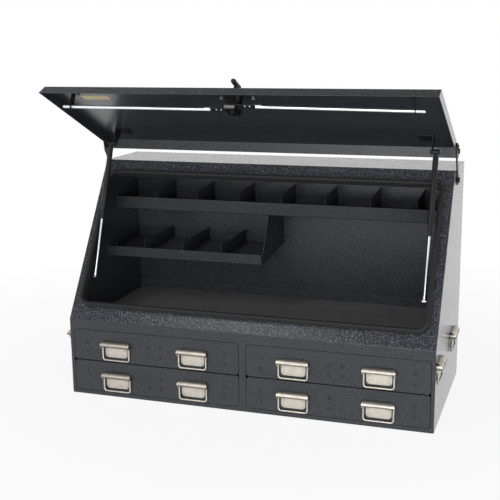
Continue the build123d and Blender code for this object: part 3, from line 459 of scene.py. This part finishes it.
def plated(name, colour, roughness, streak=(1, 1, 1), tarnish=0.5, lips=()):
    """Plated steel, dull in patches, with painted shade in its hollows
    and a painted shadow line along lips at the given heights.
    """
    material, tree, shader = new_material(name)
    rolled = object_noise(tree, 0.0012, detail=3.0, roughness=0.6, stretch=streak)
    patches = object_noise(tree, 0.022, detail=3.0, roughness=0.5)
    marks = ranged(tree, patches, 0.40, 0.68, 0.0, tarnish)
    body = mixed(tree, marks, colour, shade(colour, 0.72))
    # Painted shade: darker where nearby parts hide the surroundings.
    painted_shade_ao = add_node(
        tree, "ShaderNodeAmbientOcclusion", {"Distance": PAINTED_SHADE_REACH}, samples=8
    )
    # Share of painted shade in the hollows; the painted shadow lines join it below.
    dark = ranged(tree, painted_shade_ao.outputs["AO"], 0.40, 0.92, 0.9, 0.0)
    height = object_axes(tree)["Z"]
    # Painted shadow line along the lower edge of each hood.
    for lip in lips:
        away = combined(tree, "ABSOLUTE", combined(tree, "SUBTRACT", height, lip))
        painted_shadow_line = ranged(tree, away, SHADOW_LINE_CORE, SHADOW_LINE_FADE, 0.85, 0.0)
        dark = combined(tree, "MAXIMUM", dark, painted_shadow_line)
    body = mixed(tree, dark, body, shade(colour, 0.10))
    tree.links.new(body, shader.inputs["Base Color"])
    shader.inputs["Metallic"].default_value = 1.0
    rough = ranged(tree, patches, 0.3, 0.7, roughness - 0.03, roughness + 0.05)
    tree.links.new(rough, shader.inputs["Roughness"])
    relief = bumped(tree, rolled, distance=0.00002, strength=0.2)
    tree.links.new(relief, shader.inputs["Normal"])
    return material


WORN_ROD = (0.22, 0.22, 0.22)
WORN_PAINT = (0.18, 0.18, 0.18)


def painted_end_rod(name, bright, dark, reach, blend):
    """Bright rod whose flat end, nearer the middle of the lid than reach, is painted."""
    material, tree, shader = new_material(name)
    edge_normal, edge = rubbed_edges(tree, 0.0006)
    drawn = object_noise(tree, 0.0010, detail=3.0, roughness=0.6, stretch=(0.15, 1, 1))
    patches = object_noise(tree, 0.025, detail=5.0, roughness=0.65)
    across = object_axes(tree)["X"]
    squared = combined(tree, "MULTIPLY", across, across)
    painted = ranged(tree, squared, reach ** 2, (reach + blend) ** 2, 1.0, 0.0)
    steel = mixed(tree, ranged(tree, patches, 0.4, 0.7, 0.0, 1.0), bright, shade(bright, 0.85))
    paint = mixed(tree, combined(tree, "MULTIPLY", edge, 0.7), dark, WORN_ROD)
    tree.links.new(mixed(tree, painted, steel, paint), shader.inputs["Base Color"])
    tree.links.new(ranged(tree, painted, 0.0, 1.0, 1.0, 0.0), shader.inputs["Metallic"])
    rough = ranged(tree, patches, 0.3, 0.7, 0.30, 0.42)
    tree.links.new(rough, shader.inputs["Roughness"])
    relief = bumped(tree, drawn, distance=0.00001, strength=0.4, normal=edge_normal)
    tree.links.new(relief, shader.inputs["Normal"])
    return material


def black_paint(name, colour, roughness=0.34, glaze=0.0):
    """Thin satin paint over steel, rubbed at its edges."""
    material, tree, shader = new_material(name)
    edge_normal, edge = rubbed_edges(tree, 0.0007)
    flow = object_noise(tree, 0.004, detail=2.0)
    patches = object_noise(tree, 0.03, detail=5.0, roughness=0.7)
    uneven = ranged(tree, patches, 0.3, 0.7, 0.0, 1.0)
    body = mixed(tree, uneven, shade(colour, 0.8), shade(colour, 1.5))
    worn = combined(tree, "MULTIPLY", edge, ranged(tree, patches, 0.45, 0.65, 0.0, 0.6))
    body = mixed(tree, worn, body, WORN_PAINT)
    tree.links.new(body, shader.inputs["Base Color"])
    rough = ranged(tree, patches, 0.3, 0.7, roughness - 0.06, roughness + 0.1)
    tree.links.new(rough, shader.inputs["Roughness"])
    shader.inputs["IOR"].default_value = 1.33
    shader.inputs["Coat Weight"].default_value = glaze
    shader.inputs["Coat Roughness"].default_value = 0.08
    relief = bumped(tree, flow, distance=0.00006, strength=0.6, normal=edge_normal)
    tree.links.new(relief, shader.inputs["Normal"])
    return material


def seal_rubber(name, colour):
    """Extruded rubber: matt, faintly dusty, with fine marks along its length."""
    material, tree, shader = new_material(name)
    fine = object_noise(tree, 0.0009, detail=3.0, roughness=0.65)
    bloom = object_noise(tree, 0.04, detail=5.0, roughness=0.65)
    dusty = ranged(tree, bloom, 0.35, 0.7, 0.0, 1.0)
    body = mixed(tree, dusty, shade(colour, 0.85), shade(colour, 1.6))
    tree.links.new(body, shader.inputs["Base Color"])
    tree.links.new(ranged(tree, bloom, 0.3, 0.7, 0.56, 0.74), shader.inputs["Roughness"])
    shader.inputs["IOR"].default_value = 1.4
    shader.inputs["Sheen Weight"].default_value = 0.03
    shader.inputs["Sheen Roughness"].default_value = 0.5
    relief = bumped(tree, fine, distance=0.00008, strength=0.6)
    tree.links.new(relief, shader.inputs["Normal"])
    return material


def blank_label(name, colour):
    """Printed film without print: slightly uneven ink and a soft gloss."""
    material, tree, shader = new_material(name)
    ink = object_noise(tree, 0.012, detail=5.0, roughness=0.6)
    fibre = object_noise(tree, 0.0007, detail=2.0)
    uneven = ranged(tree, ink, 0.35, 0.7, 0.0, 1.0)
    body = mixed(tree, uneven, shade(colour, 0.85), shade(colour, 1.1))
    tree.links.new(body, shader.inputs["Base Color"])
    tree.links.new(ranged(tree, ink, 0.3, 0.7, 0.30, 0.42), shader.inputs["Roughness"])
    relief = bumped(tree, fibre, distance=0.00002, strength=0.5)
    tree.links.new(relief, shader.inputs["Normal"])
    return material


def stage_white(name, colour, near, far, near_glow=0.90):
    """White ground: it shows a soft shadow near the chest and fades to plain white by far."""
    material, tree, shader = new_material(name)
    shader.inputs["Base Color"].default_value = (*shade(colour, 0.9), 1.0)
    shader.inputs["Roughness"].default_value = 0.9
    seen = background_rays(tree)
    place = add_node(tree, "ShaderNodeTexCoord")
    away = add_node(tree, "ShaderNodeVectorMath", operation="LENGTH")
    tree.links.new(place.outputs["Object"], away.inputs[0])
    share = ranged(tree, away.outputs["Value"], near, far, near_glow, 1.0)
    glow = add_node(tree, "ShaderNodeEmission", {"Color": (*colour, 1.0), "Strength": 1.0})
    mix = add_node(tree, "ShaderNodeMixShader")
    output = tree.nodes["Material Output"]
    tree.links.new(combined(tree, "MULTIPLY", seen, share), mix.inputs["Fac"])
    tree.links.new(shader.outputs["BSDF"], mix.inputs[1])
    tree.links.new(glow.outputs["Emission"], mix.inputs[2])
    tree.links.new(mix.outputs["Shader"], output.inputs["Surface"])
    return material


def finish_nodes(names, material, smooth_angle=30.0):
    """Gives CAD nodes a finish and smooth shading between their facets."""
    for name in names:
        node = frame["nodes"][name]
        node.data.materials.clear()
        node.data.materials.append(material)
        node.data.shade_smooth()
        node.data.set_sharp_from_angle(angle=math.radians(smooth_angle))


def stored_material(name):
    """A finish that an earlier operator has made."""
    material = bpy.data.materials.get(name)
    if material is None:
        raise RuntimeError(f"the finish {name} isn't made yet")
    return material


# ---------------------------------------------------------------- operators: finishes
class TOOLCHEST_OT_finish_carcass(Operator):
    """Powder coat on the outer panels, the lid and the drawer fronts"""

    bl_idname = "toolchest.finish_carcass"
    bl_label = "Coat the Carcass"

    def execute(self, context):
        coat = context.scene.toolchest_coat
        outside = powder_coat("textured_coat_outside", tuple(coat.outside), coat)
        names = [
            "side_panel_left", "side_panel_right", "front_frame", "top_panel", "back_panel",
            "bottom_panel", "lid_panel",
        ]
        names += [f"drawer_front_{drawer}" for drawer in DRAWERS]
        finish_nodes(names, outside)
        return {"FINISHED"}


class TOOLCHEST_OT_finish_inside(Operator):
    """Duller coat on the floor, the shelves, the dividers and the drawer boxes, the floor lighter
    by painted light
    """

    bl_idname = "toolchest.finish_inside"
    bl_label = "Coat the Inside"

    duller = 0.05
    # The floor's dust and its lighter coat are mostly painted light on the floor.
    floor_dust_and_light = 2.0
    floor_painted_light = 1.4

    def execute(self, context):
        coat = context.scene.toolchest_coat
        roughness = coat.roughness + self.duller
        inside = powder_coat(
            "textured_coat_inside", tuple(coat.inside), coat, roughness=roughness, glaze=0.0,
        )
        names = [
            "centre_partition", "upper_shelf", "upper_dividers", "lower_shelf", "lower_dividers",
        ]
        names += [f"drawer_box_{drawer}" for drawer in DRAWERS]
        finish_nodes(names, inside)
        # The floor's coat: a lighter copy of the inside coat with much dust, as painted light.
        floor = powder_coat(
            "textured_coat_floor", shade(tuple(coat.inside), self.floor_painted_light), coat,
            roughness=roughness, dust_and_light=self.floor_dust_and_light, glaze=0.0,
        )
        finish_nodes(["compartment_floor"], floor)
        return {"FINISHED"}


class TOOLCHEST_OT_finish_fittings(Operator):
    """Nickel handles, zinc slides and rods, black hinges and struts"""

    bl_idname = "toolchest.finish_fittings"
    bl_label = "Finish the Fittings"

    handle_roughness = 0.40
    handle_smooth_angle = 35.0
    # Height of the painted shadow line under each hood, above the bail's pivot.
    lip_above_pivot = 0.0060
    flat_end = 0.074
    flat_end_blend = 0.002

    def lip_height(self, joint):
        """Height of a hood's lip, from the pivot of its bail."""
        return JOINTS[joint]["pos_m"][2] + self.lip_above_pivot

    def nickel_finish(self, name, colour, joints):
        """Nickel for the handles whose bails hang from these joints, or level with them,
        with painted shadow lines under their hoods.
        """
        lips = [self.lip_height(joint) for joint in joints]
        return plated(name, colour, self.handle_roughness, lips=lips)

    def execute(self, context):
        metal = context.scene.toolchest_metal
        nickel_colour = tuple(metal.nickel)
        zinc_colour = tuple(metal.zinc)
        black_colour = tuple(metal.black)

        drawer_joints = [f"drawer_bail_{level}_left_a_pivot" for level in LEVELS]
        nickel = self.nickel_finish("satin_nickel", nickel_colour, drawer_joints)
        handles = [f"drawer_handle_mounts_{drawer}" for drawer in DRAWERS]
        handles += [f"drawer_bail_{drawer}_{end}" for drawer in DRAWERS for end in "ab"]
        finish_nodes(handles, nickel, self.handle_smooth_angle)

        side_joints = ["side_bail_left_front_pivot"]
        side_nickel = self.nickel_finish("side_nickel", nickel_colour, side_joints)
        handles = ["side_handle_mounts"]
        handles += [f"side_bail_{column}_{place}" for column in COLUMNS for place in PLACES]
        finish_nodes(handles, side_nickel, self.handle_smooth_angle)

        zinc = plated("bright_zinc", zinc_colour, roughness=0.26, tarnish=0.35)
        bright = ["outer_slides", "shelf_screws", "lock_cam"]
        bright += [f"drawer_slides_{drawer}" for drawer in DRAWERS]
        finish_nodes(bright, zinc)

        chrome = plated(
            "ground_chrome", shade(zinc_colour, 1.1), roughness=0.12, streak=(1, 1, 6),
            tarnish=0.15,
        )
        finish_nodes([f"strut_rod_{column}" for column in COLUMNS], chrome)
        drawn = painted_end_rod(
            "drawn_rod", shade(zinc_colour, 1.3), black_colour, self.flat_end, self.flat_end_blend,
        )
        finish_nodes([f"lock_rod_{column}" for column in COLUMNS], drawn)

        black = black_paint("satin_black", black_colour)
        dark = [
            "hinge_bolts", "hinge_arms", "hinge_arm_bolts", "strut_foot_mounts",
            "strut_head_mounts", "rod_guides", "t_handle",
        ]
        dark += [f"strut_cylinder_{column}" for column in COLUMNS]
        finish_nodes(dark, black)
        gloss = black_paint("gloss_black", black_colour, roughness=0.16, glaze=1.0)
        finish_nodes(["lock_housing"], gloss)
        return {"FINISHED"}


class TOOLCHEST_OT_finish_seal(Operator):
    """Rubber on the seal round the opening"""

    bl_idname = "toolchest.finish_seal"
    bl_label = "Finish the Seal"

    def execute(self, context):
        seal = context.scene.toolchest_seal
        finish_nodes(["lid_seal"], seal_rubber("seal_rubber", tuple(seal.rubber)))
        return {"FINISHED"}


# ---------------------------------------------------------------- operators: details
class TOOLCHEST_OT_front_rivets(Operator):
    """Coated rivets in pairs across each drawer front, darkened by painted shade"""

    bl_idname = "toolchest.front_rivets"
    bl_label = "Rivet the Drawer Fronts"

    offsets = (-0.244, -0.021, 0.021, 0.244)
    heights = (0.0285, 0.0615)
    rise = 0.0034
    # The rivets' coat is a darker copy of the outside coat: painted shade that picks out each head.
    rivet_painted_shade = 0.45
    roughness = 0.25

    def execute(self, context):
        fastener = context.scene.toolchest_fastener
        coat = context.scene.toolchest_coat
        finish = powder_coat(
            "coated_rivet", shade(tuple(coat.outside), self.rivet_painted_shade), coat,
            roughness=self.roughness, dust_and_light=0.0,
        )
        profile = domed_profile(fastener.dimple_radius, self.rise)
        for drawer in DRAWERS:
            low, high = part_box(f"drawer_front_{drawer}")
            centre = (low.x + high.x) / 2
            places = [
                (Vector((centre + offset, low.y, low.z + height)), Vector((0, -1, 0)))
                for offset in self.offsets for height in self.heights
            ]
            add_heads(
                f"front_rivets_{drawer}", places, profile, fastener.sides, finish,
                f"drawer_{drawer}",
            )
        return {"FINISHED"}


class TOOLCHEST_OT_plate_rivets(Operator):
    """Rivets that hold each handle plate"""

    bl_idname = "toolchest.plate_rivets"
    bl_label = "Rivet the Handle Plates"

    across = (-0.031, 0.031)
    below_centre = (0.0095, 0.0270)
    pivot_drop = 0.002
    pivot_reach = 0.006
    plate = 0.0015
    rise = 0.0010

    def handle_places(self, joint, outward):
        """Rivets round one handle, from its bail's joint."""
        right = Vector((0, 0, 1)).cross(outward).normalized()
        on_plate = Vector(JOINTS[joint]["pos_m"]) - outward * (self.pivot_reach - self.plate)
        return [
            (on_plate + right * x + Vector((0, 0, self.pivot_drop - drop)), outward)
            for x in self.across for drop in self.below_centre
        ]

    def execute(self, context):
        fastener = context.scene.toolchest_fastener
        nickel = stored_material("satin_nickel")
        profile = domed_profile(fastener.plate_radius, self.rise)
        for drawer in DRAWERS:
            places = []
            for end in "ab":
                joint = f"drawer_bail_{drawer}_{end}_pivot"
                places += self.handle_places(joint, Vector((0, -1, 0)))
            add_heads(
                f"plate_rivets_{drawer}", places, profile, fastener.sides, nickel,
                f"drawer_{drawer}",
            )
        places = []
        for column in COLUMNS:
            outward = Vector((-1 if column == "left" else 1, 0, 0))
            for place in PLACES:
                places += self.handle_places(f"side_bail_{column}_{place}_pivot", outward)
        add_heads(
            "plate_rivets_sides", places, profile, fastener.sides, nickel,
            "chest",
        )
        return {"FINISHED"}


class TOOLCHEST_OT_wall_rivets(Operator):
    """Rivets through the floor's back flange"""

    bl_idname = "toolchest.wall_rivets"
    bl_label = "Rivet the Floor to the Back"

    places_x = (-0.506, -0.351, -0.196, -0.044, 0.103, 0.260, 0.423, 0.560)
    below_flange_top = 0.0115
    sheet = 0.0015
    rise = 0.0018

    def execute(self, context):
        fastener = context.scene.toolchest_fastener
        coat = stored_material("textured_coat_inside")
        flange_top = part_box("compartment_floor")[1]
        face = flange_top.y - self.sheet
        height = flange_top.z - self.below_flange_top
        places = [(Vector((x, face, height)), Vector((0, -1, 0))) for x in self.places_x]
        add_heads(
            "wall_rivets", places, domed_profile(fastener.wall_radius, self.rise),
            fastener.sides, coat, "chest",
        )
        return {"FINISHED"}


class TOOLCHEST_OT_lid_label(Operator):
    """Blank label stuck to the inside of the lid"""

    bl_idname = "toolchest.lid_label"
    bl_label = "Stick the Label"

    sheet = 0.0015
    film = 0.0003
    sink = 0.0002
    corner = 0.004
    corner_steps = 6
    along = -0.0415

    def rounded_outline(self, width, height):
        """Points round a rectangle with round corners."""
        half_width = width / 2 - self.corner
        half_height = height / 2 - self.corner
        points = []
        for quarter, (x, y) in enumerate(((1, 1), (-1, 1), (-1, -1), (1, -1))):
            for step in range(self.corner_steps + 1):
                angle = math.pi / 2 * (quarter + step / self.corner_steps)
                points.append((
                    x * half_width + self.corner * math.cos(angle),
                    y * half_height + self.corner * math.sin(angle),
                ))
        return points

    def execute(self, context):
        label = context.scene.toolchest_label
        across, along, inward = lid_frame()
        centre = lid_place(label.across, self.along, self.sheet)
        outline = self.rounded_outline(label.width, label.height)
        mesh = bmesh.new()
        back, front = (
            [mesh.verts.new(centre + across * x + along * y + inward * depth) for x, y in outline]
            for depth in (-self.sink, self.film)
        )
        mesh.faces.new(back)
        mesh.faces.new(list(reversed(front)))
        for step in range(len(outline)):
            after = (step + 1) % len(outline)
            mesh.faces.new((back[step], back[after], front[after], front[step]))
        film = blank_label("blank_label", tuple(label.colour))
        add_piece("lid_label", mesh, film, "lid")
        return {"FINISHED"}


class TOOLCHEST_OT_lock_fasteners(Operator):
    """Nuts on the lock's base plate and rivets through the rods' flat ends"""

    bl_idname = "toolchest.lock_fasteners"
    bl_label = "Fasten the Lock"

    base_face = 0.0040
    base_across = 0.050
    base_along = 0.025
    nut_sides = 6
    nut_height = 0.0042
    rod_along = 0.0155
    rod_face = 0.0453
    rivet_radius = 0.0036
    rivet_rise = 0.0020
    rivet_steps = (0.042, 0.057)

    def execute(self, context):
        fastener = context.scene.toolchest_fastener
        zinc = stored_material("bright_zinc")
        inward = lid_frame()[2]
        places = [
            (lid_place(x * self.base_across, y * self.base_along, self.base_face), inward)
            for x in (-1, 1) for y in (-1, 1)
        ]
        add_heads(
            "lock_base_nuts", places, nut_profile(fastener.nut_radius, self.nut_height),
            self.nut_sides, zinc, "lid",
        )
        profile = domed_profile(self.rivet_radius, self.rivet_rise)
        for column, side in zip(COLUMNS, (-1, 1)):
            places = [
                (lid_place(side * step, side * self.rod_along, self.rod_face), inward)
                for step in self.rivet_steps
            ]
            add_heads(
                f"rod_rivets_{column}", places, profile, fastener.sides, zinc,
                f"lock_rod_{column}",
            )
        return {"FINISHED"}


class TOOLCHEST_OT_stage(Operator):
    """White ground, soft lamps and the camera"""

    bl_idname = "toolchest.stage"
    bl_label = "Set the Stage"

    camera_place = (0.9648, -3.0587, 1.1784)
    camera_yaw = 18.619
    camera_pitch = 12.42
    camera_roll = -0.586
    sensor_width = 36.0
    lamp_aim = (0.0, 0.0, 0.45)
    lamps = {
        "key": ((0.4, -4.5, 1.0), 3.0),
        "high": ((-0.78, -1.86, 2.05), 0.9),
        "low": ((1.9, -2.3, 0.4), 1.0),
    }
    ground_reach = 12.0
    ground_drop = 0.0006
    shadow_near = 0.6
    shadow_far = 2.2
    ceiling_starts = 0.35
    ceiling_full = 0.65

    def add_lamp(self, name, place, size, power):
        """Square soft lamp that faces the chest."""
        data = bpy.data.lights.new(name, "AREA")
        data.shape = "SQUARE"
        data.size = size
        data.energy = power
        lamp = bpy.data.objects.new(name, data)
        lamp.location = place
        facing = Vector(self.lamp_aim) - Vector(place)
        lamp.rotation_euler = facing.to_track_quat("-Z", "Y").to_euler()
        bpy.context.scene.collection.objects.link(lamp)

    def add_camera(self, lens):
        """Camera at its place, turned by yaw, pitch and roll."""
        degrees = (self.camera_yaw, self.camera_pitch, self.camera_roll)
        yaw, pitch, roll = (math.radians(angle) for angle in degrees)
        facing = Vector((
            -math.sin(yaw) * math.cos(pitch), math.cos(yaw) * math.cos(pitch), -math.sin(pitch)
        ))
        right = Vector((math.cos(yaw), math.sin(yaw), 0))
        up = right.cross(facing)
        rolled_right = right * math.cos(roll) + up * math.sin(roll)
        rolled_up = up * math.cos(roll) - right * math.sin(roll)
        turn = Matrix((rolled_right, rolled_up, -facing)).transposed().to_4x4()
        data = bpy.data.cameras.new("camera")
        data.lens = lens
        data.sensor_width = self.sensor_width
        camera = bpy.data.objects.new("camera", data)
        camera.matrix_world = Matrix.Translation(self.camera_place) @ turn
        bpy.context.scene.collection.objects.link(camera)
        bpy.context.scene.camera = camera

    def add_ground(self, colour):
        """Large white floor."""
        white = stage_white("ground_white", colour, self.shadow_near, self.shadow_far)
        mesh = bmesh.new()
        corners = [
            mesh.verts.new((x * self.ground_reach, y * self.ground_reach, -self.ground_drop))
            for x, y in ((-1, -1), (1, -1), (1, 1), (-1, 1))
        ]
        mesh.faces.new(corners)
        data = bpy.data.meshes.new("ground")
        mesh.to_mesh(data)
        mesh.free()
        data.materials.append(white)
        ground = bpy.data.objects.new("ground", data)
        bpy.context.scene.collection.objects.link(ground)

    def add_world(self, colour, fill, ceiling):
        """White surroundings, dimmer overhead, to the eye and to reflections, and a fill light."""
        world = bpy.data.worlds.new("surroundings")
        world.use_nodes = True
        tree = world.node_tree
        background = tree.nodes["Background"]
        direction = add_node(tree, "ShaderNodeTexCoord")
        upward = separated(tree, direction.outputs["Generated"])["Z"]
        overhead = ranged(tree, upward, self.ceiling_starts, self.ceiling_full, 0.0, 1.0)
        sky = mixed(tree, overhead, colour, shade(colour, ceiling))
        tree.links.new(sky, background.inputs["Color"])
        strength = ranged(tree, background_rays(tree), 0.0, 1.0, fill, 1.0)
        tree.links.new(strength, background.inputs["Strength"])
        bpy.context.scene.world = world

    def execute(self, context):
        stage = context.scene.toolchest_stage
        colour = tuple(stage.backdrop)
        self.add_ground(colour)
        self.add_world(colour, stage.fill, stage.ceiling)
        for name, (place, size) in self.lamps.items():
            self.add_lamp(f"{name}_lamp", place, size, getattr(stage, f"{name}_power"))
        self.add_camera(stage.lens)
        context.scene.view_settings.view_transform = "Standard"
        return {"FINISHED"}


# ---------------------------------------------------------------- panel and registration
STEPS = (
    TOOLCHEST_OT_finish_carcass,
    TOOLCHEST_OT_finish_inside,
    TOOLCHEST_OT_finish_fittings,
    TOOLCHEST_OT_finish_seal,
    TOOLCHEST_OT_front_rivets,
    TOOLCHEST_OT_plate_rivets,
    TOOLCHEST_OT_wall_rivets,
    TOOLCHEST_OT_lid_label,
    TOOLCHEST_OT_lock_fasteners,
    TOOLCHEST_OT_stage,
)


class TOOLCHEST_PT_panel(Panel):
    """Tool chest steps in the order that they run."""

    bl_idname = "TOOLCHEST_PT_panel"
    bl_label = "Tool Chest"
    bl_space_type = "VIEW_3D"
    bl_region_type = "UI"
    bl_category = "Tool Chest"

    def draw(self, context):
        for name, kind in GROUPS.items():
            box = self.layout.box()
            box.label(text=kind.__doc__.rstrip("."))
            for key in kind.__annotations__:
                box.prop(getattr(context.scene, name), key)
        for step in STEPS:
            self.layout.operator(step.bl_idname)


GROUPS = {
    "toolchest_coat": CoatSettings,
    "toolchest_metal": MetalSettings,
    "toolchest_seal": SealSettings,
    "toolchest_fastener": FastenerSettings,
    "toolchest_label": LabelSettings,
    "toolchest_stage": StageSettings,
}


def register():
    """Registers the settings, the steps and the panel."""
    for name, kind in GROUPS.items():
        bpy.utils.register_class(kind)
        setattr(bpy.types.Scene, name, PointerProperty(type=kind))
    for step in STEPS:
        bpy.utils.register_class(step)
    bpy.utils.register_class(TOOLCHEST_PT_panel)


def unregister():
    """Takes the panel, the steps and the settings away again."""
    bpy.utils.unregister_class(TOOLCHEST_PT_panel)
    for step in reversed(STEPS):
        bpy.utils.unregister_class(step)
    for name, kind in reversed(GROUPS.items()):
        delattr(bpy.types.Scene, name)
        bpy.utils.unregister_class(kind)


def main():
    """Runs every step."""
    register()
    for step in STEPS:
        group, name = step.bl_idname.split(".")
        getattr(getattr(bpy.ops, group), name)()


if __name__ == "__main__":
    main()
